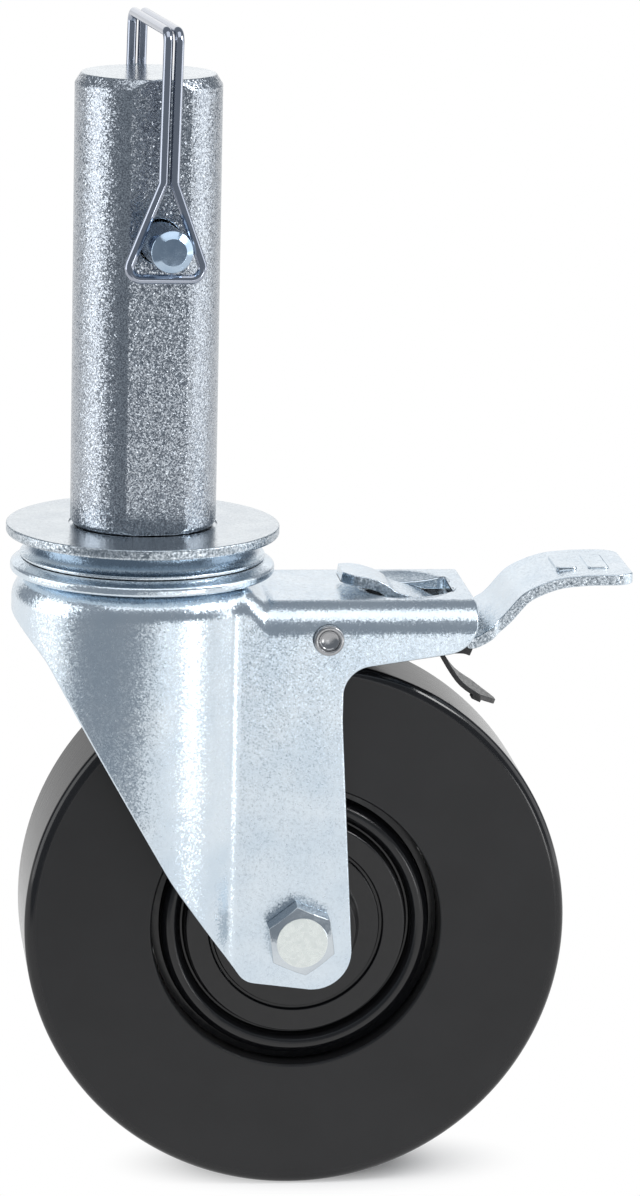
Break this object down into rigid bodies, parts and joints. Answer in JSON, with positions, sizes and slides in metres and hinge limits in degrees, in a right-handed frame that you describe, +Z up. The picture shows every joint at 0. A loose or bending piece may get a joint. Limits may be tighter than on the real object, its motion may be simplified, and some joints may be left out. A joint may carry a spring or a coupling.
{
  "type": "castor",
  "caption": "Scaffold castor: round stem with locking pin and wire clip, ball-bearing swivel fork and a solid black wheel with a foot-operated brake.",
  "frame": {"origin": "on the stem's axis, on the top face of the seat disc where a scaffold tube comes to rest", "axes": "+Z up along the stem; +X towards the trailing wheel and the brake pedal; the axle runs along Y, its bolt head towards -Y"},
  "size_m": [0.1432, 0.0651, 0.2701],
  "materials": {
    "zinc_bar": "satin zinc-plated bar with a coarse sparkle",
    "zinc_sheet": "bright zinc-plated pressed sheet with a fine grain",
    "bright_steel": "bright plated steel",
    "bright_wire": "bright plated spring wire",
    "hard_steel": "polished hardened steel",
    "black_steel": "blackened spring steel",
    "black_rubber": "smooth black solid rubber, glossy on the tread",
    "black_nylon": "moulded black nylon"
  },
  "bodies": {
    "root": {"stem": "zinc_bar", "seat_disc": "zinc_sheet", "upper_race": "zinc_sheet", "lower_race": "zinc_sheet", "kingpin_nut": "zinc_sheet"},
    "swivel": {"fork": "zinc_sheet", "race_ring": "zinc_sheet", "upper_balls": "hard_steel", "lower_balls": "hard_steel", "axle_bolt": "bright_steel", "axle_nut": "zinc_sheet", "axle_sleeve": "zinc_sheet", "dust_cap_front": "zinc_sheet", "dust_cap_rear": "zinc_sheet", "brake_rivet": "bright_steel", "fulcrum_bar": "bright_steel", "return_spring": "black_steel"},
    "wheel": {"tyre": "black_rubber", "hub": "black_nylon", "roller_cage": "hard_steel"},
    "lever": {"brake_lever": "zinc_sheet"},
    "shoe": {"brake_shoe": "black_steel"},
    "pin": {"lock_pin": "bright_steel"},
    "clip": {"wire_clip": "bright_wire"}
  },
  "joints": [
    {"name": "swivel", "type": "hinge", "parent": "root", "child": "swivel", "pos_m": [0, 0, -0.01], "axis": [0, 0, 1], "continuous": true},
    {"name": "wheel_spin", "type": "hinge", "parent": "swivel", "child": "wheel", "pos_m": [0.0354, 0, -0.092], "axis": [0, 1, 0], "continuous": true},
    {"name": "brake_pedal", "type": "hinge", "parent": "swivel", "child": "lever", "pos_m": [0.0615, 0, -0.0211], "axis": [0, 1, 0], "range_deg": [0, 10.9]},
    {"name": "shoe_swing", "type": "hinge", "parent": "swivel", "child": "shoe", "pos_m": [0.0407, 0, -0.0226], "axis": [0, 1, 0], "range_deg": [0, 4.36]},
    {"name": "pin_slide", "type": "slide", "parent": "root", "child": "pin", "axis": [0.1045, -0.9945, 0], "range_m": [-0.0065, 0.003]},
    {"name": "clip_turn", "type": "hinge", "parent": "pin", "child": "clip", "pos_m": [0, 0, 0.067], "axis": [0.1045, -0.9945, 0], "range_deg": [-150, 150]}
  ],
  "couplings": [
    {"joint": "shoe_swing", "follows": "brake_pedal", "ratio": 0.4}
  ]
}
